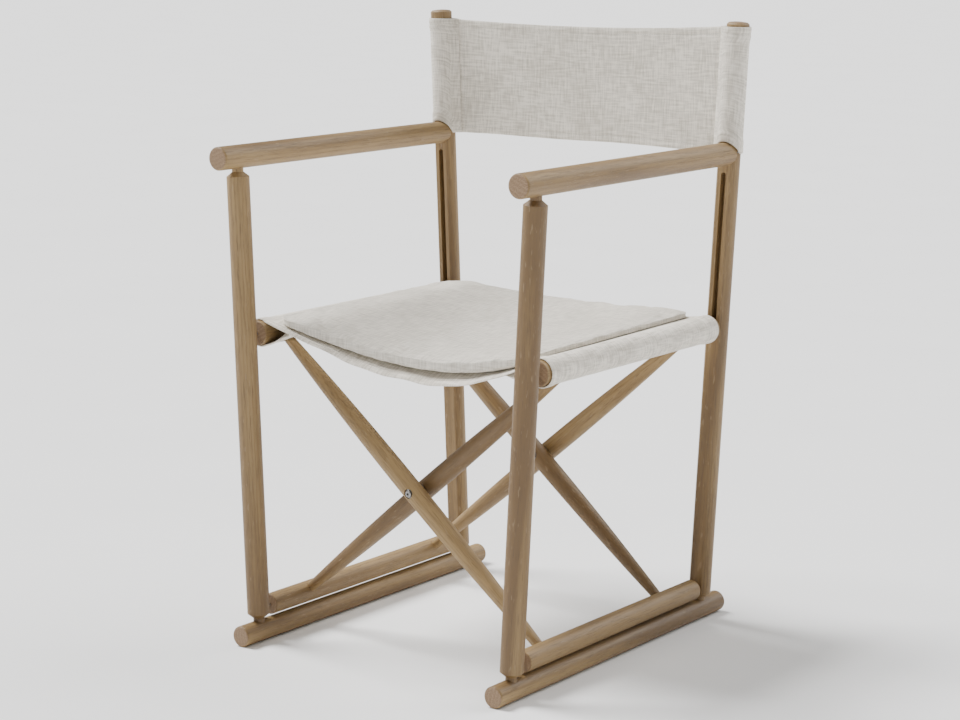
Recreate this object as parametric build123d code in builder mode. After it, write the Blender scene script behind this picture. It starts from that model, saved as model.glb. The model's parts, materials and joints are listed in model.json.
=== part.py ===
from build123d import *
from math import asin, atan2, cos, degrees, radians, sin, tan
import os

# Folding armchair of turned oak bars, with a canvas back, a canvas seat and a thin seat pad.
# Two leaning side frames are joined by two scissor frames that cross under the seat.
# Millimetres. The origin is on the floor under the middle of the chair, +Z is up and the
# front faces -Y. Right and left are as seen from the front, so right is +X.
# "Up" is measured along the leaning legs, from the floor.

# ---- Driving dimensions: side frames ----
HEIGHT = 873.5              # top of the rear legs
DEPTH = 570.0               # length of a runner
FOOT_SPAN = 437.4           # between the two side frames at floor level
LEAN = 2.75                 # outward lean of each side frame, degrees
FRONT_LEG_Y = -244.5
REAR_LEG_Y = 233.5
LEG_D = 32.0
RUNNER_D = 30.0
RUNNER_UP = 14.5            # axis of the runner; its sole is planed flat
ARM_D = 33.0
ARM_UP = 688.8              # axis of the armrest
ARM_END_GAP = 7.0           # the armrest stops this far short of the rear leg's axis
LOW_SHOULDER_UP = 40.0      # the leg is full size above this
HIGH_SHOULDER_UP = 661.5    # and below this, on the front leg
CONE_H = 6.5                # conical shoulder between the leg and its neck
NECK_D = 16.0               # neck and round tenon of a leg
RUNNER_TENON_UP = 5.0       # lowest point of the leg's tenon
ARM_TENON_UP = 694.0        # highest point of the front leg's tenon
ARM_TENON_D = 14.0          # tenon of the armrest in the rear leg
CAP_BEVEL = 2.5             # bevel round the top of a rear leg
CAP_DOME = 1.2              # height of the dome inside that bevel
FLAT_W = 19.0               # planed flat on the side of a leg that faces the rails
LOCK_PIN_D = 3.0            # steel pin that locks the armrest's tenon
LOCK_PIN_UP = 692.5
LOCK_PIN_DY = -4.0          # pin's place in front of the rear leg's axis
LOCK_PIN_L = 20.0
END_ROUND = 3.0             # rounded ends of runners and armrests

# ---- Driving dimensions: scissor frames ----
RAIL_MID_Y = -5.5           # middle of the rails
RAIL_L = 432.0
SEAT_RAIL_D = 35.0
SEAT_RAIL_UP = 439.0
BOTTOM_RAIL_D = 30.0
PIVOT_UP = 47.7             # axis of the bottom rails
RAIL_ROUND = 1.5
OUTER_BAR_DY = 164.0        # outer bar of a crossing, from the middle of the rails
BAR_D = 28.5                # bar at the crossing
BAR_END_D = 14.0            # bar where it enters a rail
BAR_GAP = 1.0               # between the two bars of a crossing
TENON_PAST = 5.0            # a bar's tenon ends this far past the rail's axis
PIN_DEPTH = 20.0            # depth of a steel pin in the rail's end
PIN_REACH = 9.0             # depth of a steel pin in the leg, below the flat
GUIDE_PIN_D = 5.0
PIVOT_PIN_D = 6.0
SLOT_W = 8.0
SLOT_TOP_UP = 663.0
SOCKET_DEPTH = 11.0         # depth of the slot and of the pivot hole

# ---- Driving dimensions: crossing bolts ----
BARREL_D = 8.0              # sleeve nut's barrel, the pivot of the crossing
BOLT_D = 6.0
BOLT_L = 26.0
BOLT_HEAD_D = 10.5
BOLT_HEAD_H = 3.0
HEX_SOCKET = 4.0
HEX_DEPTH = 2.0
WASHER_D = 13.0
WASHER_T = 1.0
COUNTERBORE_D = 13.8
COUNTERBORE_H = 4.0
SPACER_D = 16.0
SPACER_SEAT_D = 17.0
SPACER_SEAT_H = 0.8

# ---- Driving dimensions: canvas and pad ----
CLOTH_T = 1.4               # doubled canvas
SLEEVE_GAP = 0.35           # between a sleeve and the bar inside it
SEAT_FRONT_Y = -213.5
SEAT_BREAK_Y = -150.0       # in front of this the canvas sags more than the pad on it
SEAT_REAR_Y = 202.5
SEAT_SLOPES = (24.0, 16.2, 6.0)     # slope of the canvas at the rail: front, break, rear
SLEEVE_SEAM = 55.0          # seam of the seat's sleeve, from the rail's axis
BAR_NOTCH_D = 25.0          # opening in the sleeve round each bar
PAD_FRONT_Y = -205.5
PAD_REAR_Y = 200.0
PAD_HALF_W = 219.0
PAD_T = 11.0
PAD_CORNER_R = 24.0
PAD_MIDDLE_Z = (420.3, 446.5)       # its underside on the centre line, at the canvas's front and rear
PAD_RADII = (748.0, 2232.0)         # and the radius of its sag there
BACK_LOW_Z = 691.0
BACK_HIGH_Z = 862.0
BACK_SEAM_IN = 29.0         # seam of the back's sleeve, from the leg's axis
BACK_SEAM_DY = 5.0
BACK_SAG = 14.0             # the back canvas bows this far to the rear
HALF_GAP = 0.3              # between the two halves of each cloth

# ---- Fits ----
GLUE_GAP = 0.05             # round a tenon or pin in its own socket
RUNNING_GAP = 0.05          # round a pivot
FACE_GAP = 0.1              # between a spacer and the faces that turn on it
ARMREST_NOTCH_GAP = 1.0     # between the back's sleeve and the armrest

# ---- The leaning side frame ----
SIDE_UP = Vector(sin(radians(LEAN)), 0, cos(radians(LEAN)))
SIDE_OUT = Vector(cos(radians(LEAN)), 0, -sin(radians(LEAN)))
FLAT_DY = ((LEG_D / 2) ** 2 - (FLAT_W / 2) ** 2) ** 0.5
LEG_TOP = HEIGHT / SIDE_UP.Z


def on_side(y, up):
    """Point in the middle plane of the right side frame."""
    return Vector(FOOT_SPAN / 2, y, 0) + SIDE_UP * up


def along_y(y, up):
    """Plane across the right side frame's bars that run front to rear."""
    return Plane(origin=on_side(y, up), x_dir=SIDE_OUT, z_dir=(0, 1, 0))


def along_leg(y, up):
    """Plane across a leg of the right side frame."""
    return Plane(origin=on_side(y, up), x_dir=(0, 1, 0), z_dir=SIDE_UP)


# ---- Where the scissor frames meet ----
PIVOT = on_side(RAIL_MID_Y, PIVOT_UP)
SEAT_RAIL = on_side(RAIL_MID_Y, SEAT_RAIL_UP)
BAR_SLOPE = atan2(SEAT_RAIL.Z - PIVOT.Z, SEAT_RAIL.X + PIVOT.X)
CROSS_Z = PIVOT.Z + PIVOT.X * tan(BAR_SLOPE)
LOWER_BAR_L = PIVOT.X / cos(BAR_SLOPE)
UPPER_BAR_L = SEAT_RAIL.X / cos(BAR_SLOPE)
BAR_UP = Vector(-cos(BAR_SLOPE), 0, sin(BAR_SLOPE))     # up along the bars of scissor frame A
INNER_BAR_DY = OUTER_BAR_DY - BAR_D - BAR_GAP
FRONT_BAR_Y = RAIL_MID_Y - OUTER_BAR_DY
REAR_BAR_Y = RAIL_MID_Y + INNER_BAR_DY
HALF_TURN = Axis((0, RAIL_MID_Y, 0), (0, 0, 1))


def keep(piece, name):
    """Label a finished piece and write it as one STEP file."""
    piece.part.label = name
    export_step(piece.part, f"parts/{name}.step")


def keep_pair(piece, name):
    """Keep a right-hand piece and its mirror image on the left."""
    keep(piece, f"{name}_right")
    with BuildPart() as twin:
        mirror(piece.part, about=Plane.YZ)
    keep(twin, f"{name}_left")


def half_turned(piece):
    """Copy of a scissor piece, turned half round about the chair's middle."""
    with BuildPart() as twin:
        add(piece.part.rotate(HALF_TURN, 180))
    return twin


# ---- Side frames ----
def turned_leg(y, facing, body_top, top_outline, tip_up, holds_armrest):
    """Leg with a tenon in the runner, and on the side that faces the rails a slotted flat."""
    leg_plane = Plane(origin=on_side(y, 0), x_dir=(0, 1, 0), z_dir=SIDE_OUT)
    flat_origin = on_side(y + facing * FLAT_DY, 0)
    flat_plane = Plane(origin=flat_origin, x_dir=SIDE_OUT * -facing, z_dir=(0, facing, 0))
    flat_top = ARM_UP - ARM_D / 2
    with BuildPart() as leg:
        with BuildSketch(leg_plane):
            with BuildLine():
                low = Polyline(
                    (0, RUNNER_TENON_UP),
                    (NECK_D / 2, RUNNER_TENON_UP),
                    (NECK_D / 2, LOW_SHOULDER_UP - CONE_H),
                    (LEG_D / 2, LOW_SHOULDER_UP),
                    (LEG_D / 2, body_top),
                )
                top_outline()
                Line((0, tip_up), low @ 0)
            make_face()
        revolve(axis=Axis(on_side(y, 0), SIDE_UP))
        with BuildSketch(leg_plane):
            with Locations((facing * (FLAT_DY + LEG_D / 2), (LOW_SHOULDER_UP + flat_top) / 2)):
                Rectangle(LEG_D, flat_top - LOW_SHOULDER_UP)
        extrude(amount=LEG_D, both=True, mode=Mode.SUBTRACT)
        with BuildSketch(flat_plane):
            slot_low = SEAT_RAIL_UP - SLOT_W / 2
            with Locations((0, (slot_low + SLOT_TOP_UP) / 2)):
                SlotOverall(SLOT_TOP_UP - slot_low, SLOT_W, rotation=90)
            with Locations((0, PIVOT_UP)):
                Circle(PIVOT_PIN_D / 2 + RUNNING_GAP)
        extrude(amount=-SOCKET_DEPTH, mode=Mode.SUBTRACT)
        if holds_armrest:
            with BuildSketch(along_y(y - LEG_D / 2, ARM_UP)):
                Circle(ARM_TENON_D / 2 + GLUE_GAP)
            extrude(amount=LEG_D / 2 + TENON_PAST, mode=Mode.SUBTRACT)
            add(lock_pin_bore(), mode=Mode.SUBTRACT)
    return leg


def neck_outline():
    """Top of a front leg: conical shoulder, neck and tenon."""
    Polyline(
        (LEG_D / 2, HIGH_SHOULDER_UP),
        (NECK_D / 2, HIGH_SHOULDER_UP + CONE_H),
        (NECK_D / 2, ARM_TENON_UP),
        (0, ARM_TENON_UP),
    )


def cap_outline():
    """Top of a rear leg: bevel and shallow dome."""
    rim = LEG_D / 2 - CAP_BEVEL
    Line((LEG_D / 2, LEG_TOP - CAP_BEVEL - CAP_DOME), (rim, LEG_TOP - CAP_DOME))
    TangentArc((0, LEG_TOP), (rim, LEG_TOP - CAP_DOME), tangent=(1, 0))


def make_side_frames():
    front_leg = turned_leg(FRONT_LEG_Y, 1, HIGH_SHOULDER_UP, neck_outline, ARM_TENON_UP, False)
    keep_pair(front_leg, "front_leg")
    rear_leg = turned_leg(REAR_LEG_Y, -1, LEG_TOP - CAP_BEVEL - CAP_DOME, cap_outline, LEG_TOP, True)
    keep_pair(rear_leg, "rear_leg")

    with BuildPart() as runner:
        with BuildSketch(along_y(-DEPTH / 2, RUNNER_UP)):
            Circle(RUNNER_D / 2)
        extrude(amount=DEPTH)
        fillet(runner.edges().filter_by(GeomType.CIRCLE), radius=END_ROUND)
        split(bisect_by=Plane.XY, keep=Keep.TOP)
        for y in (FRONT_LEG_Y, REAR_LEG_Y):
            with BuildSketch(along_leg(y, RUNNER_TENON_UP - GLUE_GAP)):
                Circle(NECK_D / 2 + GLUE_GAP)
            extrude(amount=RUNNER_D, mode=Mode.SUBTRACT)
    keep_pair(runner, "runner")

    with BuildPart() as armrest:
        with BuildSketch(along_y(-DEPTH / 2, ARM_UP)):
            Circle(ARM_D / 2)
        extrude(amount=REAR_LEG_Y - ARM_END_GAP + DEPTH / 2)
        fillet(armrest.edges().filter_by(GeomType.CIRCLE).sort_by(Axis.Y)[0], radius=END_ROUND)
        with BuildSketch(along_leg(REAR_LEG_Y, ARM_UP - ARM_D)):
            Circle(LEG_D / 2 + GLUE_GAP)
        extrude(amount=2 * ARM_D, mode=Mode.SUBTRACT)
        with BuildSketch(along_y(REAR_LEG_Y - LEG_D, ARM_UP)):
            Circle(ARM_TENON_D / 2)
        extrude(amount=LEG_D + TENON_PAST - GLUE_GAP)
        with BuildSketch(along_leg(FRONT_LEG_Y, ARM_TENON_UP + GLUE_GAP)):
            Circle(NECK_D / 2 + GLUE_GAP)
        extrude(amount=-ARM_D, mode=Mode.SUBTRACT)
        add(lock_pin_bore(), mode=Mode.SUBTRACT)
    keep_pair(armrest, "armrest")

    with BuildPart() as lock_pin:
        with BuildSketch(lock_pin_plane()):
            Circle(LOCK_PIN_D / 2)
        extrude(amount=-LOCK_PIN_L)
        chamfer(lock_pin.edges().filter_by(GeomType.CIRCLE), length=LOCK_PIN_D / 10)
    keep_pair(lock_pin, "armrest_lock_pin")


def lock_pin_plane():
    """Plane at the outer end of the pin that locks the armrest in the rear leg."""
    pin_end = ((LEG_D / 2) ** 2 - LOCK_PIN_DY**2) ** 0.5
    origin = on_side(REAR_LEG_Y + LOCK_PIN_DY, LOCK_PIN_UP) + SIDE_OUT * pin_end
    return Plane(origin=origin, x_dir=(0, 1, 0), z_dir=SIDE_OUT)


def lock_pin_bore():
    """The hole for the lock pin, as a solid to cut away."""
    with BuildPart(mode=Mode.PRIVATE) as bore:
        with BuildSketch(lock_pin_plane().offset(LOCK_PIN_D)):
            Circle(LOCK_PIN_D / 2 + GLUE_GAP)
        extrude(amount=-LOCK_PIN_D - LOCK_PIN_L - GLUE_GAP)
    return bore.part


# ---- Scissor frames ----
def crossing_bar(y, outward):
    """Barrel-turned bar of scissor frame A; outward is the side of it that carries a bolt end."""
    centre = Vector(0, y, CROSS_Z)
    low_end = -(LOWER_BAR_L - BOTTOM_RAIL_D / 2)
    high_end = UPPER_BAR_L - SEAT_RAIL_D / 2
    with BuildPart() as bar:
        with BuildSketch(Plane(origin=centre, x_dir=(0, 1, 0), z_dir=(sin(BAR_SLOPE), 0, cos(BAR_SLOPE)))):
            with BuildLine():
                low = Polyline(
                    (0, -LOWER_BAR_L - TENON_PAST),
                    (BAR_END_D / 2, -LOWER_BAR_L - TENON_PAST),
                    (BAR_END_D / 2, low_end),
                )
                barrel = ThreePointArc(low @ 1, (BAR_D / 2, 0), (BAR_END_D / 2, high_end))
                Polyline(
                    barrel @ 1,
                    (BAR_END_D / 2, UPPER_BAR_L + TENON_PAST),
                    (0, UPPER_BAR_L + TENON_PAST),
                    low @ 0,
                )
            make_face()
        revolve(axis=Axis(centre, BAR_UP))
        faces_out = Plane(origin=centre, x_dir=(1, 0, 0), z_dir=(0, outward, 0))
        with BuildSketch(faces_out):
            Circle(BARREL_D / 2 + RUNNING_GAP)
        extrude(amount=BAR_D, both=True, mode=Mode.SUBTRACT)
        with BuildSketch(faces_out.offset(BAR_D / 2 - COUNTERBORE_H)):
            Circle(COUNTERBORE_D / 2)
        extrude(amount=BAR_D, mode=Mode.SUBTRACT)
        with BuildSketch(faces_out.offset(SPACER_SEAT_H - BAR_D / 2)):
            Circle(SPACER_SEAT_D / 2)
        extrude(amount=-BAR_D, mode=Mode.SUBTRACT)
    return bar


def rail(axis_x, axis_z, diameter, pin_diameter, bar_side):
    """Rail of scissor frame A, with sockets for its two bars and for a pin in each end."""
    with BuildPart() as piece:
        with BuildSketch(Plane(origin=(axis_x, RAIL_MID_Y, axis_z), x_dir=(1, 0, 0), z_dir=(0, 1, 0))):
            Circle(diameter / 2)
        extrude(amount=RAIL_L / 2, both=True)
        fillet(piece.edges().filter_by(GeomType.CIRCLE), radius=RAIL_ROUND)
        for end in (-1, 1):
            end_y = RAIL_MID_Y + end * RAIL_L / 2
            with BuildSketch(Plane(origin=(axis_x, end_y, axis_z), x_dir=(1, 0, 0), z_dir=(0, end, 0))):
                Circle(pin_diameter / 2 + GLUE_GAP)
            extrude(amount=-PIN_DEPTH - GLUE_GAP, mode=Mode.SUBTRACT)
        for y in (FRONT_BAR_Y, REAR_BAR_Y):
            bottom = Vector(axis_x, y, axis_z) - BAR_UP * bar_side * (TENON_PAST + GLUE_GAP)
            with BuildSketch(Plane(origin=bottom, x_dir=(0, 1, 0), z_dir=BAR_UP * bar_side)):
                Circle(BAR_END_D / 2 + GLUE_GAP)
            extrude(amount=diameter, mode=Mode.SUBTRACT)
    return piece


def rail_pins(axis_x, axis_z, diameter):
    """The two steel pins that stand out of a rail's ends into the legs."""
    with BuildPart() as pins:
        for end, leg_y in ((-1, FRONT_LEG_Y), (1, REAR_LEG_Y)):
            inner_y = RAIL_MID_Y + end * (RAIL_L / 2 - PIN_DEPTH)
            outer_y = leg_y - end * FLAT_DY + end * PIN_REACH
            with BuildSketch(Plane(origin=(axis_x, inner_y, axis_z), x_dir=(1, 0, 0), z_dir=(0, end, 0))):
                Circle(diameter / 2)
            extrude(amount=abs(outer_y - inner_y))
        chamfer(pins.edges().filter_by(GeomType.CIRCLE), length=diameter / 10)
    return pins


def make_scissor_frames():
    pieces = (
        (crossing_bar(FRONT_BAR_Y, -1), "front_bar_a", "rear_bar_b"),
        (crossing_bar(REAR_BAR_Y, -1), "rear_bar_a", "front_bar_b"),
        (rail(-SEAT_RAIL.X, SEAT_RAIL.Z, SEAT_RAIL_D, GUIDE_PIN_D, -1), "seat_rail_left", "seat_rail_right"),
        (rail(PIVOT.X, PIVOT.Z, BOTTOM_RAIL_D, PIVOT_PIN_D, 1), "bottom_rail_right", "bottom_rail_left"),
        (rail_pins(-SEAT_RAIL.X, SEAT_RAIL.Z, GUIDE_PIN_D), "guide_pins_left", "guide_pins_right"),
        (rail_pins(PIVOT.X, PIVOT.Z, PIVOT_PIN_D), "pivot_pins_right", "pivot_pins_left"),
    )
    for piece, name, turned_name in pieces:
        keep(piece, name)
        keep(half_turned(piece), turned_name)


# ---- Crossing bolts ----
def crossing_plane(y):
    """Plane square to the front crossing's bolt, looking forwards."""
    return Plane(origin=(0, y, CROSS_Z), x_dir=(1, 0, 0), z_dir=(0, -1, 0))


def keep_crossing_set(piece, name):
    """Keep a fastener of the front crossing together with the same one of the rear crossing."""
    with BuildPart() as both:
        add(piece.part)
        add(piece.part.rotate(HALF_TURN, 180))
    keep(both, name)


def make_crossing_bolts():
    front_floor = FRONT_BAR_Y - BAR_D / 2 + COUNTERBORE_H       # floor of the bolt head's counterbore
    back_bar_y = FRONT_BAR_Y + BAR_D + BAR_GAP
    back_floor = back_bar_y + BAR_D / 2 - COUNTERBORE_H         # floor of the nut's counterbore
    head_y = front_floor - WASHER_T
    nut_y = back_floor + WASHER_T
    bore_gap = 2 * GLUE_GAP

    with BuildPart() as bolt:
        with BuildSketch(crossing_plane(head_y)):
            Circle(BOLT_HEAD_D / 2)
        extrude(amount=BOLT_HEAD_H)
        fillet(bolt.edges().filter_by(GeomType.CIRCLE).sort_by(Axis.Y)[0], radius=BOLT_HEAD_H / 2)
        with BuildSketch(crossing_plane(head_y)):
            Circle(BOLT_D / 2)
        extrude(amount=-BOLT_L)
        with BuildSketch(crossing_plane(head_y - BOLT_HEAD_H)):
            RegularPolygon(HEX_SOCKET / 2, 6, major_radius=False)
        extrude(amount=-HEX_DEPTH, mode=Mode.SUBTRACT)
    keep_crossing_set(bolt, "crossing_bolts")

    with BuildPart() as nut:
        with BuildSketch(crossing_plane(nut_y)):
            Circle(BOLT_HEAD_D / 2)
        extrude(amount=-BOLT_HEAD_H)
        fillet(nut.edges().filter_by(GeomType.CIRCLE).sort_by(Axis.Y)[-1], radius=BOLT_HEAD_H / 2)
        with BuildSketch(crossing_plane(nut_y)):
            Circle(BARREL_D / 2)
        extrude(amount=nut_y - front_floor - bore_gap)
        with BuildSketch(crossing_plane(front_floor)):
            Circle(BOLT_D / 2 + GLUE_GAP)
        extrude(amount=-BOLT_L, mode=Mode.SUBTRACT)
        with BuildSketch(crossing_plane(nut_y + BOLT_HEAD_H)):
            RegularPolygon(HEX_SOCKET / 2, 6, major_radius=False)
        extrude(amount=HEX_DEPTH, mode=Mode.SUBTRACT)
    keep_crossing_set(nut, "crossing_sleeve_nuts")

    with BuildPart() as washers:
        for y, hole_d in ((front_floor, BOLT_D), (nut_y, BARREL_D)):
            with BuildSketch(crossing_plane(y - FACE_GAP / 4)):
                Circle(WASHER_D / 2)
                Circle(hole_d / 2 + bore_gap, mode=Mode.SUBTRACT)
            extrude(amount=WASHER_T - FACE_GAP / 2)
    keep_crossing_set(washers, "crossing_washers")

    seat_y = FRONT_BAR_Y + BAR_D / 2 - SPACER_SEAT_H
    spacer_t = BAR_GAP + 2 * SPACER_SEAT_H - 2 * FACE_GAP
    with BuildPart() as spacer:
        with BuildSketch(crossing_plane(seat_y + FACE_GAP)):
            Circle(SPACER_D / 2)
            Circle(BARREL_D / 2 + bore_gap, mode=Mode.SUBTRACT)
        extrude(amount=-spacer_t)
    keep_crossing_set(spacer, "crossing_spacers")


# ---- Canvas and pad ----
def hanging_band(y, half_width, middle_z, radius, thickness):
    """Section of a cloth that hangs in an arc; middle_z is the lowest point of its underside."""
    centre_z = middle_z + radius
    reach = asin(half_width / radius)
    inner = radius - thickness
    with BuildSketch(Plane.XZ.offset(-y)) as section:
        with BuildLine():
            low = ThreePointArc(
                (-half_width, centre_z - radius * cos(reach)),
                (0, middle_z),
                (half_width, centre_z - radius * cos(reach)),
            )
            high = ThreePointArc(
                (inner * sin(reach), centre_z - inner * cos(reach)),
                (0, middle_z + thickness),
                (-inner * sin(reach), centre_z - inner * cos(reach)),
            )
            Line(low @ 1, high @ 0)
            Line(high @ 1, low @ 0)
        make_face()
    return section


def keep_half(side):
    """Cut the piece being built down to one side of the chair's middle plane."""
    middle = Plane(origin=(side * HALF_GAP / 2, 0, 0), z_dir=(side, 0, 0))
    split(bisect_by=middle, keep=Keep.TOP)


def wrapped(radius, seam, seam_radius):
    """Outline drawn tight round a bar at the origin and a small circle at the sleeve's seam."""
    with BuildSketch() as outline:
        Circle(radius)
        with Locations(seam):
            Circle(seam_radius)
        make_hull()
    return outline.sketch


def seat_canvas(side, bar_ys):
    """Half of the seat canvas, with the sleeve that holds it on its rail."""
    sleeve_in = SEAT_RAIL_D / 2 + SLEEVE_GAP
    seam_dz = sleeve_in * cos(radians(SEAT_SLOPES[1])) - SLEEVE_SEAM * tan(radians(SEAT_SLOPES[1]))
    sleeve_end = (side * SEAT_RAIL.X, SEAT_FRONT_Y, SEAT_RAIL.Z)
    hollow_seam = (side * (2 * CLOTH_T - SLEEVE_SEAM), seam_dz)
    with BuildPart() as canvas:
        for y, slope in zip((SEAT_FRONT_Y, SEAT_BREAK_Y, SEAT_REAR_Y), SEAT_SLOPES):
            tangent_x = SEAT_RAIL.X - sleeve_in * sin(radians(slope))
            tangent_z = SEAT_RAIL.Z + sleeve_in * cos(radians(slope))
            middle_z = tangent_z - tangent_x * tan(radians(slope) / 2)
            add(hanging_band(y, tangent_x, middle_z, tangent_x / sin(radians(slope)), CLOTH_T).sketch)
        loft(ruled=True)
        keep_half(side)
        with BuildSketch(Plane(origin=sleeve_end, x_dir=(1, 0, 0), z_dir=(0, -1, 0))):
            add(wrapped(sleeve_in + CLOTH_T, (-side * SLEEVE_SEAM, seam_dz), CLOTH_T / 2))
            add(wrapped(sleeve_in, hollow_seam, CLOTH_T / 4), mode=Mode.SUBTRACT)
        extrude(amount=SEAT_FRONT_Y - SEAT_REAR_Y)
        bar_down = Vector(-side * cos(BAR_SLOPE), 0, -sin(BAR_SLOPE))
        for y in bar_ys:
            rail_point = (side * SEAT_RAIL.X, y, SEAT_RAIL.Z)
            with BuildSketch(Plane(origin=rail_point, x_dir=(0, 1, 0), z_dir=bar_down)):
                Circle(BAR_NOTCH_D / 2)
            extrude(amount=SLEEVE_SEAM, mode=Mode.SUBTRACT)
    return canvas


def seat_pad():
    """Right half of the pad: a curved slab with rounded corners."""
    with BuildPart() as slab:
        for y, middle_z, radius in zip((SEAT_FRONT_Y, SEAT_REAR_Y), PAD_MIDDLE_Z, PAD_RADII):
            add(hanging_band(y, PAD_HALF_W + PAD_CORNER_R, middle_z, radius, PAD_T).sketch)
        loft(ruled=True)
        with BuildSketch(Plane.XY.offset(PAD_MIDDLE_Z[0] - PAD_T)):
            with Locations((0, (PAD_FRONT_Y + PAD_REAR_Y) / 2)):
                RectangleRounded(2 * PAD_HALF_W, PAD_REAR_Y - PAD_FRONT_Y, PAD_CORNER_R)
        extrude(amount=PAD_HALF_W, mode=Mode.INTERSECT)
        keep_half(1)
    return slab


def back_band(z):
    """Section of the back canvas at height z, from its seam to the middle."""
    seam = on_side(REAR_LEG_Y + BACK_SEAM_DY, z / SIDE_UP.Z) - SIDE_OUT * BACK_SEAM_IN
    front_y = seam.Y - CLOTH_T / 2
    with BuildSketch(Plane.XY.offset(z)) as section:
        with BuildLine():
            front = ThreePointArc((-seam.X, front_y), (0, front_y + BACK_SAG), (seam.X, front_y))
            rear = ThreePointArc(
                (seam.X, front_y + CLOTH_T), (0, front_y + BACK_SAG + CLOTH_T), (-seam.X, front_y + CLOTH_T)
            )
            Line(front @ 1, rear @ 0)
            Line(rear @ 1, front @ 0)
        make_face()
    return section


def back_canvas():
    """Right half of the back canvas, with the sleeve that holds it on the rear leg."""
    sleeve_in = LEG_D / 2 + SLEEVE_GAP
    sleeve_h = (BACK_HIGH_Z - BACK_LOW_Z) / SIDE_UP.Z
    hollow_seam = (BACK_SEAM_DY, BACK_SEAM_IN - 2 * CLOTH_T)
    with BuildPart() as canvas:
        for z in (BACK_LOW_Z, BACK_HIGH_Z):
            add(back_band(z).sketch)
        loft()
        keep_half(1)
        with BuildSketch(along_leg(REAR_LEG_Y, BACK_LOW_Z / SIDE_UP.Z)):
            add(wrapped(sleeve_in + CLOTH_T, (BACK_SEAM_DY, BACK_SEAM_IN), CLOTH_T))
            add(wrapped(sleeve_in, hollow_seam, CLOTH_T / 4), mode=Mode.SUBTRACT)
        extrude(amount=sleeve_h)
        with BuildSketch(along_y(REAR_LEG_Y, ARM_UP)):
            Circle(ARM_D / 2 + ARMREST_NOTCH_GAP)
        extrude(amount=-LEG_D, mode=Mode.SUBTRACT)
    return canvas


def make_cloth():
    for side, name, bar_ys in (
        (-1, "left", (FRONT_BAR_Y, REAR_BAR_Y)),
        (1, "right", (2 * RAIL_MID_Y - REAR_BAR_Y, 2 * RAIL_MID_Y - FRONT_BAR_Y)),
    ):
        keep(seat_canvas(side, bar_ys), f"seat_canvas_{name}")
    keep_pair(seat_pad(), "seat_pad")
    keep_pair(back_canvas(), "back_canvas")


os.makedirs("parts", exist_ok=True)
make_side_frames()
make_scissor_frames()
make_crossing_bolts()
make_cloth()
print(f"crossing at z {CROSS_Z:.3f}, bar slope {degrees(BAR_SLOPE):.3f} degrees")
print(f"pivot x {PIVOT.X:.3f} z {PIVOT.Z:.3f}, seat rail x {SEAT_RAIL.X:.3f} z {SEAT_RAIL.Z:.3f}")
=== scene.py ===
"""Looks of the folding armchair: oak, steel, linen canvas and a thin linen pad, around the CAD frame."""

import json
import math

import bmesh
import bpy
import numpy as np
from mathutils import Matrix, Vector


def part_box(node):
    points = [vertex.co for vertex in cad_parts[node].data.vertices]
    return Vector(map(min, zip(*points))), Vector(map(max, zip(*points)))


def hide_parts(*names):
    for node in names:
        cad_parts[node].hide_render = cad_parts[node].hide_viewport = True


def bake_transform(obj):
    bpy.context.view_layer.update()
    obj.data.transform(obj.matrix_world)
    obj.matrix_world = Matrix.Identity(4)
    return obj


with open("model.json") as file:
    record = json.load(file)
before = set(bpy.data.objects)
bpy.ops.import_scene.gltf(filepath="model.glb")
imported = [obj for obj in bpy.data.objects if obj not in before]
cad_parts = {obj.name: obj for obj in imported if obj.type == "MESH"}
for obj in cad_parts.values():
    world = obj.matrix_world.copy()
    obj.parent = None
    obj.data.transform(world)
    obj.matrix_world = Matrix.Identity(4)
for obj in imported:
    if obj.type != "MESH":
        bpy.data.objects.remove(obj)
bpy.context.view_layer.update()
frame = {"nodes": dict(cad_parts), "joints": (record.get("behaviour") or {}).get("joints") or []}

MM = 0.001

# ---- Places taken from the CAD frame, in millimetres ----
JOINTS = {j["name"]: j for j in frame["joints"]}


def place(joint):
    return np.array(JOINTS[joint]["pos_m"]) / MM


def extent(node):
    low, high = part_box(node)
    return np.array(low) / MM, np.array(high) / MM


RAIL_X, _, RAIL_Z = place("seat_turn_right")
CROSS = place("crossing")
LEAN = np.array(JOINTS["back_turn_right"]["axis"])
LEG_POINT = place("back_turn_right")
LEG_R = (extent("rear_leg_right")[1][1] - extent("rear_leg_right")[0][1]) / 2
RAIL_R = (extent("seat_rail_right")[1][2] - extent("seat_rail_right")[0][2]) / 2
ARM_R = (extent("armrest_right")[1][2] - extent("armrest_right")[0][2]) / 2
ARM_Z = (extent("armrest_right")[1][2] + extent("armrest_right")[0][2]) / 2
SEAT_FRONT, SEAT_REAR = extent("seat_canvas_right")[0][1], extent("seat_canvas_right")[1][1]
PAD_LOW, PAD_HIGH = extent("seat_pad_left")[0], extent("seat_pad_right")[1]
BACK_LOW = extent("back_canvas_right")[0][2]
BAR_DIRECTION = np.array([-CROSS[0] - RAIL_X, 0.0, RAIL_Z - CROSS[2]])
BAR_DIRECTION /= np.linalg.norm(BAR_DIRECTION)

CLOTH_T = 1.2          # thickness of the linen canvas
HEM_W = 14.0           # depth of the hems
STITCH_IN = 5.0        # the hems' stitches, from the turned-in edge
STITCH_L, STITCH_PITCH, STITCH_D = 2.8, 4.0, 0.7


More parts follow.
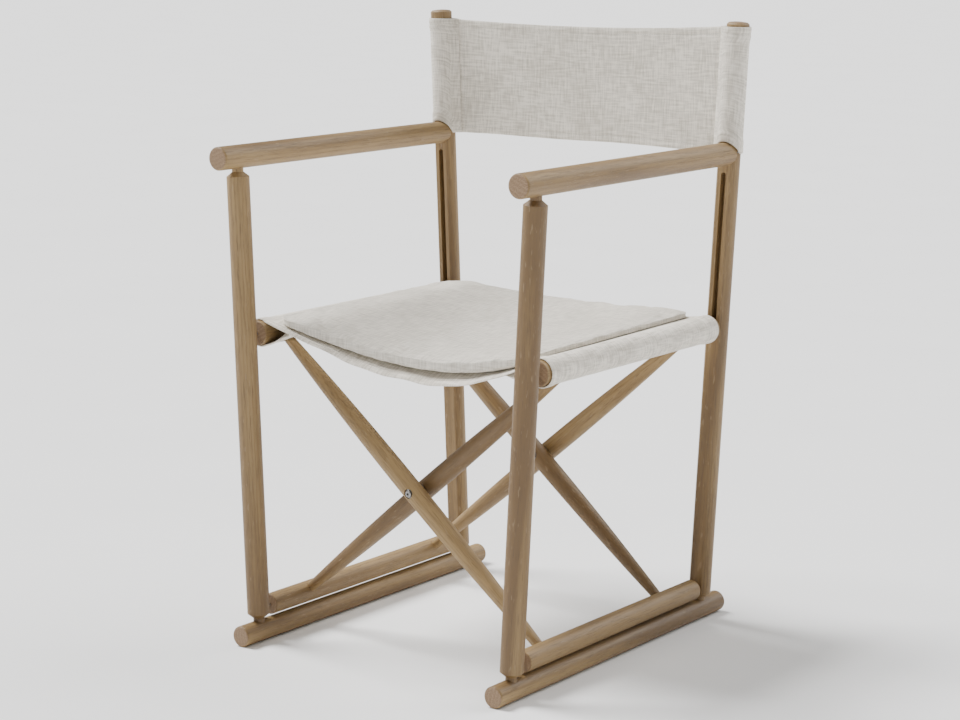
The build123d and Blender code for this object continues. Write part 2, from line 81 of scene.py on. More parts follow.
# ---- Materials ----
class Nodes:
    """A material's node tree, with short ways to add nodes."""

    def __init__(self, name):
        self.material = bpy.data.materials.new(name)
        self.material.use_nodes = True
        self.tree = self.material.node_tree
        self.shader = self.tree.nodes["Principled BSDF"]

    def add(self, kind, inputs=(), **settings):
        node = self.tree.nodes.new(kind)
        for key, value in settings.items():
            setattr(node, key, value)
        for key, value in dict(inputs).items():
            if isinstance(value, bpy.types.NodeSocket):
                self.tree.links.new(value, node.inputs[key])
            else:
                node.inputs[key].default_value = value
        return node

    def math(self, operation, a, b=0.0):
        return self.add("ShaderNodeMath", {0: a, 1: b}, operation=operation).outputs[0]

    def stretched(self, vector, scale, offset=(0, 0, 0)):
        inputs = {"Vector": vector, "Scale": scale, "Location": offset}
        return self.add("ShaderNodeMapping", inputs).outputs[0]

    def noise(self, vector, detail, roughness=0.5, distortion=0.0):
        inputs = {"Vector": vector, "Scale": 1.0, "Detail": detail, "Roughness": roughness}
        inputs["Distortion"] = distortion
        return self.add("ShaderNodeTexNoise", inputs).outputs[0]

    def ramp(self, value, *stops):
        node = self.add("ShaderNodeValToRGB", {0: value})
        ramp = node.color_ramp
        while len(ramp.elements) < len(stops):
            ramp.elements.new(0.5)
        for element, (position, colour) in zip(ramp.elements, stops):
            element.position = position
            element.color = (*colour, 1) if isinstance(colour, tuple) else (colour, colour, colour, 1)
        return node.outputs[0]

    def mix(self, share, a, b):
        node = self.add("ShaderNodeMix", {0: share}, data_type="RGBA", blend_type="MIX")
        for key, value in ((6, a), (7, b)):
            if isinstance(value, bpy.types.NodeSocket):
                self.tree.links.new(value, node.inputs[key])
            else:
                node.inputs[key].default_value = (*value, 1)
        return node.outputs[2]

    def bump(self, height, distance, strength=1.0):
        inputs = {"Height": height, "Distance": distance, "Strength": strength}
        self.tree.links.new(self.add("ShaderNodeBump", inputs).outputs[0], self.shader.inputs["Normal"])

    def finish(self, colour, roughness, metallic=0.0, **more):
        values = {"Base Color": colour, "Roughness": roughness, "Metallic": metallic, **more}
        for key, value in values.items():
            if isinstance(value, bpy.types.NodeSocket):
                self.tree.links.new(value, self.shader.inputs[key])
            else:
                self.shader.inputs[key].default_value = value
        return self.material


def oak(name, along):
    """Oiled oak whose grain runs along the given direction."""
    n = Nodes(name)
    turn = Vector(along).rotation_difference(Vector((0, 0, 1))).to_euler()
    place_of = n.add("ShaderNodeTexCoord")
    grain, facing = (
        n.add("ShaderNodeMapping", {"Vector": place_of.outputs[kind], "Rotation": tuple(turn)}).outputs[0]
        for kind in ("Object", "Normal")
    )
    end = n.math("ABSOLUTE", n.add("ShaderNodeSeparateXYZ", {0: facing}).outputs[2])
    end = n.ramp(end, (0.80, 0.0), (0.93, 1.0))

    tone = n.noise(n.stretched(grain, (22, 22, 1.6)), detail=3, distortion=0.6)
    dark, middle, light = (0.150, 0.086, 0.030), (0.255, 0.160, 0.063), (0.345, 0.228, 0.098)
    colour = n.ramp(tone, (0.36, dark), (0.50, middle), (0.64, light))
    rings = n.add(
        "ShaderNodeTexWave",
        {"Vector": n.stretched(grain, (1, 1, 0.05), (0.021, 0.034, 0)), "Scale": 60.0, "Distortion": 5.0,
         "Detail": 3.0, "Detail Scale": 0.6},
        wave_type="RINGS", rings_direction="Z",
    ).outputs[1]
    late = n.ramp(rings, (0.45, 0.0), (0.95, 1.0))
    colour = n.mix(n.math("MULTIPLY", late, 0.28), colour, (0.150, 0.086, 0.032))
    pores = n.noise(n.stretched(grain, (1100, 1100, 34)), detail=2, roughness=0.6)
    pores = n.ramp(pores, (0.53, 0.0), (0.64, 1.0))
    colour = n.mix(n.math("MULTIPLY", pores, 0.50), colour, (0.085, 0.048, 0.022))
    flecks = n.ramp(n.noise(n.stretched(grain, (260, 520, 60)), detail=1), (0.66, 0.0), (0.74, 1.0))
    colour = n.mix(n.math("MULTIPLY", flecks, 0.28), colour, (0.43, 0.31, 0.18))
    wear = n.ramp(n.noise(n.stretched(grain, (9, 9, 5)), detail=4), (0.35, 0.0), (0.75, 1.0))
    colour = n.mix(n.math("MULTIPLY", wear, 0.16), colour, (0.24, 0.170, 0.090))
    across = n.noise(n.stretched(grain, (600, 600, 600)), detail=3)
    end_colour = n.ramp(across, (0.35, (0.220, 0.137, 0.072)), (0.65, (0.335, 0.222, 0.130)))
    end_colour = n.mix(n.math("MULTIPLY", rings, 0.35), end_colour, (0.165, 0.100, 0.052))
    colour = n.mix(end, colour, end_colour)
    height = n.math("SUBTRACT", n.math("MULTIPLY", rings, 0.25), n.math("MULTIPLY", pores, 0.8))
    n.bump(height, 0.00025, 0.7)
    rough = n.math("ADD", n.math("MULTIPLY", tone, 0.18), 0.44)
    return n.finish(colour, rough)


def linen(name, light, dark, pitch=1.15):
    """Slubby plain-weave linen; its map runs in metres along the cloth's two thread directions."""
    n = Nodes(name)
    flat = n.add("ShaderNodeTexCoord").outputs["UV"]
    u, v = n.add("ShaderNodeSeparateXYZ", {0: flat}).outputs[0:2]
    turns = 2 * math.pi / (pitch * MM)
    warp_slub = n.noise(n.stretched(flat, (830, 26, 1)), detail=3, roughness=0.6)
    weft_slub = n.noise(n.stretched(flat, (23, 790, 1), (3, 5, 0)), detail=3, roughness=0.6)
    warp = n.math("SINE", n.math("MULTIPLY", u, turns))
    weft = n.math("SINE", n.math("MULTIPLY", v, turns))
    weave = n.math("ADD", n.math("MULTIPLY", n.math("MULTIPLY", warp, weft), 0.5), 0.5)
    slub = n.math("ADD", n.math("MULTIPLY", warp_slub, 0.5), n.math("MULTIPLY", weft_slub, 0.5))
    thick_warp = n.noise(n.stretched(flat, (360, 42, 1), (7, 1, 0)), detail=1)
    thick_weft = n.noise(n.stretched(flat, (38, 340, 1), (2, 8, 0)), detail=1)
    thick = n.math("ADD", n.math("MULTIPLY", thick_warp, 0.5), n.math("MULTIPLY", thick_weft, 0.5))
    cloudy = n.noise(n.stretched(flat, (14, 14, 1)), detail=4)
    tone = n.math("ADD", n.math("MULTIPLY", slub, 0.35), n.math("MULTIPLY", thick, 0.50))
    tone = n.math("ADD", tone, n.math("MULTIPLY", cloudy, 0.15))
    middle = tuple((a + b) / 2 for a, b in zip(light, dark))
    colour = n.ramp(tone, (0.40, dark), (0.49, middle), (0.56, light))
    gaps = n.ramp(weave, (0.02, 1.0), (0.30, 0.0))
    colour = n.mix(n.math("MULTIPLY", gaps, 0.22), colour, tuple(c * 0.62 for c in dark))
    knots = n.ramp(n.noise(n.stretched(flat, (300, 260, 1), (9, 2, 0)), detail=1), (0.73, 0.0), (0.78, 1.0))
    colour = n.mix(n.math("MULTIPLY", knots, 0.35), colour, tuple(c * 0.66 for c in dark))
    height = n.math("ADD", n.math("MULTIPLY", weave, 0.6), n.math("MULTIPLY", slub, 0.9))
    n.bump(height, 0.00035, 0.8)
    cloth = {"Specular IOR Level": 0.15, "Sheen Weight": 0.12, "Sheen Roughness": 0.5}
    return n.finish(colour, 0.92, **cloth)


def steel(name):
    n = Nodes(name)
    spots = n.noise(n.stretched(n.add("ShaderNodeTexCoord").outputs["Object"], (420, 420, 420)), detail=4)
    colour = n.ramp(spots, (0.35, (0.17, 0.165, 0.16)), (0.65, (0.42, 0.41, 0.40)))
    n.bump(spots, 0.0001, 0.4)
    return n.finish(colour, n.math("ADD", n.math("MULTIPLY", spots, 0.30), 0.22), 1.0)


def thread(name):
    n = Nodes(name)
    twist = n.noise(n.stretched(n.add("ShaderNodeTexCoord").outputs["Object"], (2500, 2500, 2500)), detail=1)
    colour = n.ramp(twist, (0.35, (0.50, 0.48, 0.43)), (0.65, (0.70, 0.68, 0.63)))
    n.bump(twist, 0.0001, 0.5)
    return n.finish(colour, 0.85)


OAK_ALONG_Y = oak("oak_lengthways", (0, 1, 0))
OAK = {
    "front_leg_right": oak("oak_leg_right", tuple(LEAN)),
    "front_leg_left": oak("oak_leg_left", (-LEAN[0], 0, LEAN[2])),
    "front_bar_a": oak("oak_bar_a", tuple(BAR_DIRECTION)),
    "front_bar_b": oak("oak_bar_b", (-BAR_DIRECTION[0], 0, BAR_DIRECTION[2])),
}
OAK["rear_leg_right"], OAK["rear_leg_left"] = OAK["front_leg_right"], OAK["front_leg_left"]
OAK["rear_bar_a"], OAK["rear_bar_b"] = OAK["front_bar_a"], OAK["front_bar_b"]
STEEL = steel("dark_steel")
CANVAS = linen("linen_canvas", (0.920, 0.868, 0.772), (0.570, 0.525, 0.446))
PAD_LINEN = linen("linen_pad", (0.780, 0.738, 0.656), (0.540, 0.503, 0.434), pitch=0.95)
THREAD = thread("linen_thread")

for name, node in frame["nodes"].items():
    is_metal = "pin" in name or name.startswith("crossing_")
    node.data.materials.clear()
    node.data.materials.append(STEEL if is_metal else OAK.get(name, OAK_ALONG_Y))
    for polygon in node.data.polygons:
        polygon.material_index = 0


# ---- Meshes of cloth ----
def mesh_object(name, points, faces, material, flat=None):
    """Smooth-shaded mesh; points are in millimetres and flat holds each point's place in the cloth."""
    mesh = bpy.data.meshes.new(name)
    mesh.from_pydata([tuple(p) for p in np.asarray(points) * MM], [], faces)
    mesh.materials.append(material)
    mesh.shade_smooth()
    if flat is not None:
        layer = mesh.uv_layers.new(name="UVMap")
        for loop in mesh.loops:
            layer.data[loop.index].uv = tuple(flat[loop.vertex_index] * MM)
    made = bpy.data.objects.new(name, mesh)
    bpy.context.collection.objects.link(made)
    return made


def grid(name, rows, flat, material):
    """Cloth from a grid of points, given a thickness."""
    rows, flat = np.asarray(rows), np.asarray(flat)
    count, width = rows.shape[:2]
    faces = [
        (r * width + c, r * width + c + 1, (r + 1) * width + c + 1, (r + 1) * width + c)
        for r in range(count - 1)
        for c in range(width - 1)
    ]
    made = mesh_object(name, rows.reshape(-1, 3), faces, material, flat.reshape(-1, 2))
    solid = made.modifiers.new("thickness", "SOLIDIFY")
    solid.thickness, solid.offset = CLOTH_T * MM, 0.0
    apply_modifiers(made)
    crease_rim(made)
    return made


def apply_modifiers(made):
    """Make what the modifiers show the object's own mesh."""
    bpy.context.view_layer.update()
    shown = made.evaluated_get(bpy.context.evaluated_depsgraph_get())
    mesh = bpy.data.meshes.new_from_object(shown)
    made.modifiers.clear()
    made.data = mesh


def crease_rim(made):
    """Sharp shading along the cut edges, so that two halves that meet there read as one cloth."""
    mesh = bmesh.new()
    mesh.from_mesh(made.data)
    for edge in mesh.edges:
        if len(edge.link_faces) == 2 and edge.calc_face_angle() > math.radians(55):
            edge.smooth = False
    mesh.to_mesh(made.data)
    mesh.free()


def running_length(line):
    return np.concatenate([[0], np.cumsum(np.linalg.norm(np.diff(line, axis=0), axis=1))])


def smooth(t):
    t = np.clip(t, 0, 1)
    return t * t * (3 - 2 * t)


def stitches(name, lines, normals):
    """Running stitches along lines of points, each a short thread lying on the cloth."""
    points, faces = [], []
    for line, normal in zip(lines, normals):
        line = np.asarray(line, float)
        along = running_length(line)
        for start in np.arange(1.0, along[-1] - STITCH_L, STITCH_PITCH):
            ends = [
                np.array([np.interp(s, along, line[:, k]) for k in range(3)])
                for s in (start, start + STITCH_L)
            ]
            run = (ends[1] - ends[0]) / np.linalg.norm(ends[1] - ends[0])
            out = np.asarray(normal(ends[0]) if callable(normal) else normal, float)
            side = np.cross(run, out)
            side /= np.linalg.norm(side)
            out = np.cross(side, run)
            base = len(points)
            rings = ((0.0, 0.45, -0.35), (0.25, 1.0, 0.25), (0.75, 1.0, 0.25), (1.0, 0.45, -0.35))
            for share, fat, lift in rings:
                centre = ends[0] + (ends[1] - ends[0]) * share + out * lift * STITCH_D
                for angle in range(6):
                    a = angle * math.pi / 3
                    points.append(centre + (side * math.cos(a) + out * math.sin(a)) * STITCH_D / 2 * fat)
            for ring in range(3):
                for k in range(6):
                    a, b = base + ring * 6 + k, base + ring * 6 + (k + 1) % 6
                    faces.append((a, b, b + 6, a + 6))
            faces.append(tuple(base + k for k in reversed(range(6))))
            faces.append(tuple(base + 18 + k for k in range(6)))
    return mesh_object(name, points, faces, THREAD)


# ---- Seat canvas ----
SAG_REAR, SAG_PAD, SAG_LIP = 12.0, 22.0, 14.0   # at the rear, more towards the front, and at the front edge
LIP_W = 63.0            # the front edge sags more over this depth
SKEW = 0.4              # the lowest point lies this much to the right
SEAM_IN = 55.0          # sleeve's seam, from the rail's axis
BAR_HOLE_R, BAR_HOLE_L, BAR_HOLE_DOWN = 11.5, 52, 27


def sag_at(y):
    forward = (SEAT_REAR - y) / (SEAT_REAR - SEAT_FRONT - LIP_W)
    lip = np.clip((SEAT_FRONT + LIP_W - y) / LIP_W, 0, 1)
    return SAG_REAR + SAG_PAD * np.clip(forward, 0, 1.2) + SAG_LIP * lip * lip


def hang(x, y, radius=RAIL_R + 0.95):
    """Height of the canvas at x, y: it hangs between the tops of the two seat rails."""
    sag = sag_at(y)
    right, left = 2 * (1 + SKEW) * sag / RAIL_X, 2 * (1 - SKEW) * sag / RAIL_X
    right, left = np.arctan(right), np.arctan(left)
    x_right, x_left = RAIL_X - radius * np.sin(right), -RAIL_X + radius * np.sin(left)
    z_right, z_left = RAIL_Z + radius * np.cos(right), RAIL_Z + radius * np.cos(left)
    u = 2 * (x - x_left) / (x_right - x_left) - 1
    level = z_left + (z_right - z_left) * (u + 1) / 2
    bellows = (np.sin(x / 23.0 + 1.0) + 0.7 * np.sin(x / 11.0)) * smooth((SEAT_FRONT + 42 - y) / 42)
    return level - sag * (1 - u * u) * (1 + SKEW * u) + 1.1 * bellows * (1 - u * u)


def seat_profile(y, inner, lift=0.0):
    """Line of the canvas across the chair at y, from the left sleeve's seam round both rails to the right
    one's. inner is how far this layer lies inside the outer one, as the turned-in layer of a hem does, and
    lift is how far a sleeve's lower layer curls up."""
    hem = smooth((HEM_W + 10 - min(y - SEAT_FRONT, SEAT_REAR - y)) / 12)
    radius = RAIL_R + 0.95 + 1.45 * hem - inner
    sag = sag_at(y)
    half = []
    for side, skew in ((-1, 1 - SKEW), (1, 1 + SKEW)):
        slope = math.atan(2 * skew * sag / RAIL_X)
        seam = np.array([SEAM_IN, 0.0])
        seam[1] = hang(side * (RAIL_X - SEAM_IN), y) - RAIL_Z - CLOTH_T * 1.15 - inner * 0.2
        reach, bearing = np.linalg.norm(seam), math.atan2(seam[1], seam[0])
        touch = bearing - math.acos(radius / reach)     # where the lower layer leaves the rail
        top = math.pi / 2 - slope                       # where the upper layer leaves it
        contact = radius * np.array([math.cos(touch), math.sin(touch)])
        lower = [seam + (contact - seam) * t for t in np.linspace(0, 1, 14)]
        belly = np.sin(np.linspace(0, math.pi, 14))
        curl = np.sin(math.pi * np.minimum(1, np.linspace(0, 1, 14) / 0.6))    # clear of the rail
        lower = [p + np.array([0, lift * c - 1.2 * b]) for p, b, c in zip(lower, belly, curl)]
        turns = np.linspace(touch, top - 2 * math.pi, 30)[1:]
        around = [radius * np.array([math.cos(a), math.sin(a)]) for a in turns]
        half.append([np.array([side * (RAIL_X - p[0]), RAIL_Z + p[1]]) for p in lower + around])
    left, right = half
    across = np.linspace(left[-1][0], right[-1][0], 121)[1:-1]
    middle = [np.array([x, hang(x, y) - inner]) for x in across]
    return np.array(left + middle + right[::-1])


def hemmed(low, high, step):
    """Places along a cloth with a hem turned in at both ends: (place, how far inside it lies).
    The outer layer is drawn in a little along the hem's stitches."""
    inside = CLOTH_T * 1.12
    sewn = HEM_W - STITCH_IN
    start = [(low + HEM_W - d, inside) for d in np.linspace(0, HEM_W - 0.9, 6)]
    fold = [(low + 0.25, inside * 0.8), (low, inside * 0.5), (low + 0.25, inside * 0.2), (low + 0.9, 0.0)]
    hem = [(low + 3.5, -0.15), (low + sewn - 1.8, -0.1), (low + sewn, 0.5), (low + sewn + 1.8, 0.0)]
    edge = start + fold + hem
    first, last = low + sewn + 5, high - sewn - 5
    middle = [(p, 0.0) for p in np.linspace(first, last, int((last - first) / step))]
    return edge + middle + [(low + high - p, i) for p, i in reversed(edge)]


def make_seat_canvas():
    rows, flat, along = [], [], 0.0
    previous = None
    for y, inner in hemmed(SEAT_FRONT, SEAT_REAR, 5.0):
        turned_in = max(0.0, 1 - abs(min(y - SEAT_FRONT, SEAT_REAR - y) - HEM_W) / HEM_W)
        line = seat_profile(y, inner, 8.0 * turned_in if inner > 1 else 0.0)
        spot = np.array([y, inner])
        along += 0.0 if previous is None else float(np.linalg.norm(spot - previous))
        previous = spot
        length = running_length(line)
        length -= length[-1] / 2
        rows.append([(x, y, z) for x, z in line])
        flat.append([(s, along) for s in length])
    canvas = grid("seat_canvas", rows, flat, CANVAS)
    for side, node in ((-1, "a"), (1, "b")):
        for where in ("front", "rear"):
            low, high = extent(f"{where}_bar_{node}")
            cut_bar_hole(canvas, side, (low[1] + high[1]) / 2)
    return canvas


def cut_bar_hole(canvas, side, y):
    """Opening in a sleeve where a bar enters its rail."""
    down = Vector((-side * abs(BAR_DIRECTION[0]), 0, -BAR_DIRECTION[2]))
    bpy.ops.mesh.primitive_cylinder_add(vertices=40, radius=BAR_HOLE_R * MM, depth=BAR_HOLE_L * MM)
    cutter = bpy.context.active_object
    centre = Vector((side * RAIL_X, y, RAIL_Z)) * MM + down * (BAR_HOLE_DOWN * MM)
    cutter.matrix_world = Matrix.Translation(centre) @ down.to_track_quat("Z", "Y").to_matrix().to_4x4()
    bpy.context.view_layer.update()
    cut = canvas.modifiers.new("bar_hole", "BOOLEAN")
    cut.operation, cut.object, cut.solver = "DIFFERENCE", cutter, "EXACT"
    apply_modifiers(canvas)
    bpy.data.objects.remove(cutter)


seat_canvas = make_seat_canvas()
seat_length = running_length(seat_profile(0.0, 0.0))[-1] * MM
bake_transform(seat_canvas)
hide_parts("seat_canvas_left", "seat_canvas_right")


def seat_stitches():
    lines, normals = [], []
    up = (0, 0, 1)
    inset = HEM_W - STITCH_IN
    for y in (SEAT_FRONT + inset, SEAT_REAR - inset):
        xs = np.linspace(-RAIL_X + 16, RAIL_X - 16, 200)
        lines.append([(x, y, hang(x, y) + CLOTH_T / 2 - 0.45) for x in xs])
        normals.append(up)
    for side in (-1, 1):
        x = side * (RAIL_X - SEAM_IN + 3)
        ys = np.linspace(SEAT_FRONT + 2, SEAT_REAR - 2, 120)
        lines.append([(x, y, hang(x, y) + CLOTH_T / 2) for y in ys])
        normals.append(up)
    return stitches("seat_canvas_stitches", lines, normals)


thread_on_seat = seat_stitches()
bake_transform(thread_on_seat)


# ---- Seat pad ----
PAD_T = 12.0            # thickness of the pad
PAD_CORNER = 26.0       # radius of its corners
PAD_CROWN, PAD_CROWN_IN = 1.5, 60.0     # how much it swells, and from how far inside its edge
PAD_RIPPLE = 0.45       # height of the waves along its sewn edge
PAD_THIN = 5.0          # it is this much thinner at its left and right edges
FILL_LIMIT = 3.2        # furthest that filling moves its cover
FILL_FRAMES = 20
PAD_SIDE = ((0.12, 0.2), (0.35, 0.9), (0.65, 0.9), (0.90, 0.3))     # share of the thickness, how far in


def pad_floor(x, y):
    """Underside of the pad: it lies on the canvas, and spans the canvas's deeper sag along the front edge."""
    droop = 1.8 * smooth((SEAT_FRONT + 45 - y) / 40)
    u = x / RAIL_X
    return hang(x, max(y, SEAT_FRONT + 50)) + CLOTH_T / 2 + 0.9 - droop * (1 - u * u)


def make_pad():
    """Thin stuffed pad: a slab in the canvas's shape, which a cloth simulation then fills out."""
    low_x, high_x = PAD_LOW[0] + 0.5, PAD_HIGH[0] - 0.5
    low_y, high_y = PAD_LOW[1] + 0.5, PAD_HIGH[1] - 0.5
    xs = np.linspace(low_x, high_x, 89)
    ys = np.linspace(low_y, high_y, 83)
    centre = np.array([(low_x + high_x) / 2, (low_y + high_y) / 2])
    half = np.array([(high_x - low_x) / 2, (high_y - low_y) / 2])

    def rounded(x, y):
        """Draw the corners of the pad's outline in to a radius."""
        p = np.array([x, y]) - centre
        over = np.abs(p) - (half - PAD_CORNER)
        if over.min() > 0:
            reach = np.linalg.norm(over)
            square = PAD_CORNER * reach / max(over)
            over = over * (min(square, reach * PAD_CORNER / max(square, 1e-6)) / reach) if reach else over
            p = np.sign(p) * (half - PAD_CORNER + over)
        return p + centre

    def level(px, py, share):
        """Height of the pad's surface at a share of its thickness, a little wavy along the sewn edge."""
        edge = max(min(px - low_x, high_x - px, py - low_y, high_y - py), 0)
        crown = PAD_CROWN * math.sin(min(edge / PAD_CROWN_IN, 1) * math.pi / 2)
        crown -= PAD_THIN * (1 - smooth(max(min(px - low_x, high_x - px), 0) / PAD_CROWN_IN))
        ripple = math.sin(px / 9.5 + py / 14) + 0.8 * math.sin(px / 17 - py / 8.5 + 2)
        return pad_floor(px, py) + share * (PAD_T + crown + PAD_RIPPLE * ripple * math.exp(-edge / 9))

    nx, ny = len(xs), len(ys)
    points, faces = [], []
    for share in (0, 1):
        for y in ys:
            for x in xs:
                px, py = rounded(x, y)
                points.append((px, py, level(px, py, share)))
    top = nx * ny
    for r in range(ny - 1):
        for c in range(nx - 1):
            a = r * nx + c
            faces.append((a, a + nx, a + nx + 1, a + 1))
            faces.append((a + top, a + top + 1, a + top + nx + 1, a + top + nx))
    rim = [c for c in range(nx)] + [r * nx + nx - 1 for r in range(1, ny)]
    rim += [(ny - 1) * nx + c for c in range(nx - 2, -1, -1)] + [r * nx for r in range(ny - 2, 0, -1)]
    rings = [rim]
    for share, inward in PAD_SIDE:
        start = len(points)
        for k in rim:
            px, py = points[k][:2]
            inner = centre + (np.array([px, py]) - centre) * (1 - inward / half)
            points.append((inner[0], inner[1], level(px, py, share)))
        rings.append(list(range(start, len(points))))
    rings.append([k + top for k in rim])
    for low, high in zip(rings, rings[1:]):
        for k in range(len(rim)):
            m = (k + 1) % len(rim)
            faces.append((low[k], low[m], high[m], high[k]))
    pad = mesh_object("seat_pad", points, faces, PAD_LINEN)
    sewn = pad.vertex_groups.new(name="sewn")
    sewn.add(rings[0] + rings[-1], 1.0, "REPLACE")
    return pad


def fill_out(pad):
    """Fill the pad with a little pressure, its sewn edges held, and keep the shape that its cover takes."""
    rest = np.array([v.co for v in pad.data.vertices])
    cloth = pad.modifiers.new("fill", "CLOTH")
    settings = cloth.settings
    settings.quality, settings.mass = 6, 0.25
    settings.tension_stiffness, settings.compression_stiffness = 12, 12
    settings.shear_stiffness, settings.bending_stiffness = 6, 0.4
    settings.use_pressure, settings.uniform_pressure_force = True, 3.0
    settings.effector_weights.gravity = 0.0
    settings.vertex_group_mass = "sewn"
    settings.shrink_min = -0.02
    cloth.collision_settings.use_collision = False
    cloth.point_cache.frame_start, cloth.point_cache.frame_end = 1, FILL_FRAMES
    for f in range(1, FILL_FRAMES + 1):
        bpy.context.scene.frame_set(f)
    apply_modifiers(pad)
    bpy.context.scene.frame_set(1)
    moved = np.array([v.co for v in pad.data.vertices])
    shift = moved - rest
    length = np.linalg.norm(shift, axis=1, keepdims=True)
    shift *= np.minimum(1, FILL_LIMIT * MM / np.maximum(length, 1e-9))
    settled = rest + shift
    for k, (x, y, z) in enumerate(settled / MM):
        ground = hang(x, y) + CLOTH_T / 2 + 0.5
        settled[k, 2] = max(z, ground) * MM
    pad.data.vertices.foreach_set("co", settled.astype(np.float32).ravel())
    finer = pad.modifiers.new("finer", "SUBSURF")
    finer.levels = finer.render_levels = 1
    soften = pad.modifiers.new("soften", "SMOOTH")
    soften.factor, soften.iterations = 0.5, 1
    apply_modifiers(pad)
    pad.data.shade_smooth()


def lay_flat(pad):
    """Map the pad's linen: seen from above on its two faces, and unrolled on its sides."""
    layer = pad.data.uv_layers.new(name="UVMap")
    for polygon in pad.data.polygons:
        up, side_x = abs(polygon.normal.z), abs(polygon.normal.x) > abs(polygon.normal.y)
        for index in polygon.loop_indices:
            x, y, z = pad.data.vertices[pad.data.loops[index].vertex_index].co
            layer.data[index].uv = (x, y) if up > 0.5 else ((y, z) if side_x else (x, z))


seat_pad = make_pad()
fill_out(seat_pad)
lay_flat(seat_pad)
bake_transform(seat_pad)
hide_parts("seat_pad_left", "seat_pad_right")


# ---- Back canvas ----
BACK_SEAM_IN, BACK_SEAM_DY, BACK_BOW = 29.0, 5.0, 14.0
BACK_H = 170.0          # rough height of the panel, for the creases and hems
BACK_HALF = LEG_POINT[0] - BACK_SEAM_IN


def leg_axis(z):
    """The right rear leg's axis at height z."""
    return LEG_POINT + LEAN * (z - LEG_POINT[2]) / LEAN[2]


def back_top(x):
    u = x / BACK_HALF
    return 855.0 + 7.0 * u * u + 3.0 * u


def back_bottom(x):
    return BACK_LOW - 1.6 + 0.6 * math.sin(x / 40.0)


def panel_bow(x, z):
    """How far behind the seams the panel hangs at x, z."""
    u = np.clip(x / BACK_HALF, -1, 1)
    height = (z - BACK_LOW) / BACK_H
    creases = 0.5 * math.sin(x / 31.0 + height * 1.3) + 0.35 * math.sin(x / 17.0 - height * 2.2)
    return (BACK_BOW + 1.5 * math.sin(height * math.pi)) * (1 - u * u) + creases * (1 - u**6)


def back_profile(side, share, inner):
    """Points of one half of the back at a share of its height: from the seam round the leg and back, then the
    panel to the middle."""
    hem_zone = smooth((HEM_W + 8 - min(share, 1 - share) * BACK_H) / 8)
    radius = LEG_R + 1.0 + 1.30 * hem_zone - inner
    seam = np.array([-BACK_SEAM_IN, BACK_SEAM_DY])
    reach, bearing = np.linalg.norm(seam), math.atan2(seam[1], seam[0])
    spread = math.acos(radius / reach)
    front_touch, rear_touch = bearing + spread, bearing - spread
    contact = [radius * np.array([math.cos(a), math.sin(a)]) for a in (front_touch, rear_touch)]
    edge = seam + np.array([0.0, -CLOTH_T * 0.9])
    front = [edge + (contact[0] - edge) * t for t in np.linspace(0, 1, 9)]
    around = np.linspace(front_touch, rear_touch + 2 * math.pi, 34)[1:-1]
    around = [radius * np.array([math.cos(a), math.sin(a)]) for a in around]
    rear = [contact[1] + (seam - contact[1]) * t for t in np.linspace(0, 1, 9)]
    line = []
    for dx, dy in front + around + rear:
        low = back_bottom(side * (LEG_POINT[0] + dx))
        if dy < 0:      # the sleeve is cut out round the armrest
            low = max(low, ARM_Z + 0.8 + math.sqrt(max((ARM_R + 1.3) ** 2 - dx * dx, 0)))
        z = low + (back_top(side * BACK_HALF) + 1.0 - low) * share
        axis = leg_axis(z)
        line.append((side * (axis[0] + dx), axis[1] + dy, z))
    for x in np.linspace(1, 0, 62)[1:]:
        low, high = back_bottom(side * BACK_HALF * x), back_top(side * BACK_HALF * x)
        z = low + (high - low) * share
        axis = leg_axis(z)
        seam_x = axis[0] - BACK_SEAM_IN
        px = side * seam_x * x
        line.append((px, axis[1] + BACK_SEAM_DY + panel_bow(side * BACK_HALF * x, z) + inner, z))
    return np.array(line)


def make_back_half(side, name):
    height = back_top(0) - back_bottom(0)
    rows, flat = [], []
    for place_z, inner in hemmed(0.0, height, 4.0):
        line = back_profile(side, place_z / height, inner)
        length = running_length(line)
        rows.append(line if side > 0 else line[::-1])
        spots = [(side * (length[-1] - s), place_z) for s in length]
        flat.append(spots if side > 0 else spots[::-1])
    return grid(f"back_canvas_cloth_{name}", rows, flat, CANVAS)


def back_stitches(side, name):
    lines, normals = [], []
    height = back_top(0) - back_bottom(0)
    front = (0, -1, 0)
    for place_z in (HEM_W - STITCH_IN, height - (HEM_W - STITCH_IN)):
        line = back_profile(side, place_z / height, 0.45)
        panel = line[-61:] + np.array([0, -CLOTH_T / 2, 0])
        lines.append(panel)
        normals.append(front)
    share = np.linspace(0.02, 0.98, 60)
    seam = []
    for s in share:
        line = back_profile(side, s, 0.0)
        seam.append(line[-60] + np.array([0, -CLOTH_T / 2, 0]))
    lines.append(seam)
    normals.append(front)
    return stitches(f"back_canvas_stitches_{name}", lines, normals)


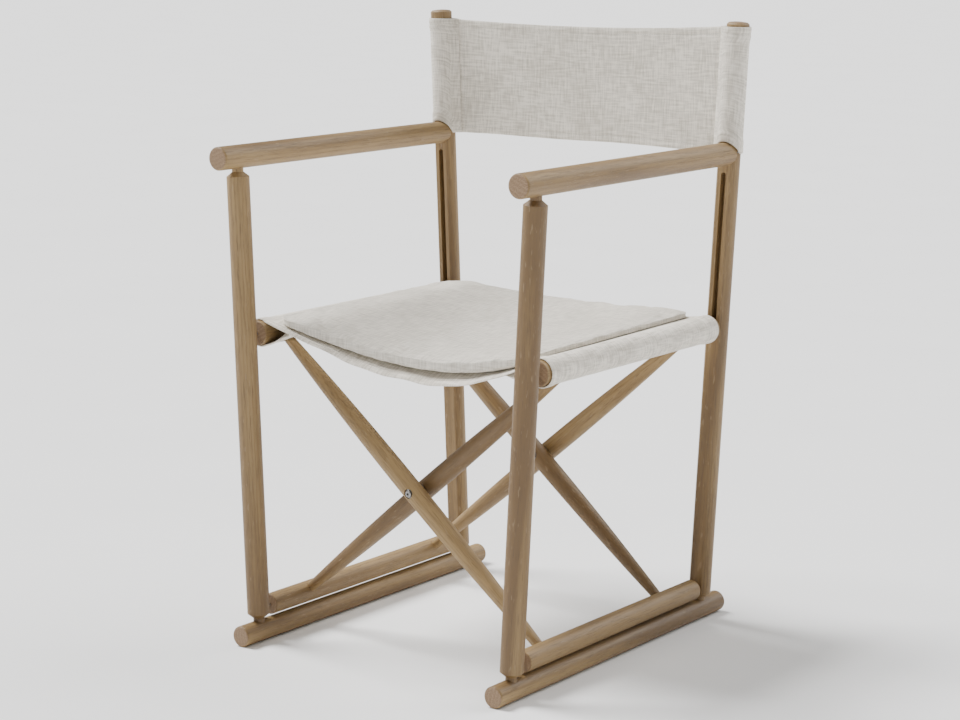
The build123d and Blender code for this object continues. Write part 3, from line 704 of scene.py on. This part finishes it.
for side, name in ((1, "right"), (-1, "left")):
    half = make_back_half(side, name)
    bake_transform(half)
    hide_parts(f"back_canvas_{name}")
    sewn = back_stitches(side, name)
    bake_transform(sewn)


# ---- Studio ----
def make_studio():
    bpy.ops.mesh.primitive_plane_add(size=90, location=(0, 0, -0.0005))
    floor = bpy.context.active_object
    floor.name = "floor"
    n = Nodes("pale_floor")
    speck = n.noise(n.stretched(n.add("ShaderNodeTexCoord").outputs["Object"], (3, 3, 3)), detail=2)
    floor.data.materials.append(n.finish(n.ramp(speck, (0.3, 0.88), (0.7, 0.90)), 0.9))

    world = bpy.data.worlds.new("studio")
    bpy.context.scene.world = world
    world.use_nodes = True
    world.node_tree.nodes["Background"].inputs[0].default_value = (1.0, 0.985, 0.96, 1)
    world.node_tree.nodes["Background"].inputs[1].default_value = 0.32

    lamps = (("key", (-0.80, -0.18, 1.15), 6.0, 26), ("rear", (0.45, 0.85, 0.75), 2.0, 40))
    for name, towards, strength, spread in lamps:
        light = bpy.data.lights.new(name, "SUN")
        light.energy, light.angle = strength, math.radians(spread)
        lamp = bpy.data.objects.new(name, light)
        lamp.rotation_euler = Vector(towards).to_track_quat("Z", "Y").to_euler()
        bpy.context.collection.objects.link(lamp)


def make_camera():
    azimuth, elevation, roll = (math.radians(a) for a in (36.08, 10.78, 0.41))
    back = Vector(
        (
            math.sin(azimuth) * math.cos(elevation),
            -math.cos(azimuth) * math.cos(elevation),
            math.sin(elevation),
        )
    )
    right = Vector((math.cos(azimuth), math.sin(azimuth), 0))
    up = back.cross(right)
    right, up = (
        right * math.cos(roll) + up * math.sin(roll),
        up * math.cos(roll) - right * math.sin(roll),
    )
    data = bpy.data.cameras.new("camera")
    data.lens, data.sensor_width = 91.24, 36.0
    data.shift_x = 0.00125
    camera = bpy.data.objects.new("camera", data)
    turned = Matrix((right, up, back)).transposed().to_4x4()
    camera.matrix_world = Matrix.Translation((1.9920, -2.7539, 1.0425)) @ turned
    bpy.context.collection.objects.link(camera)
    bpy.context.scene.camera = camera


make_studio()
make_camera()
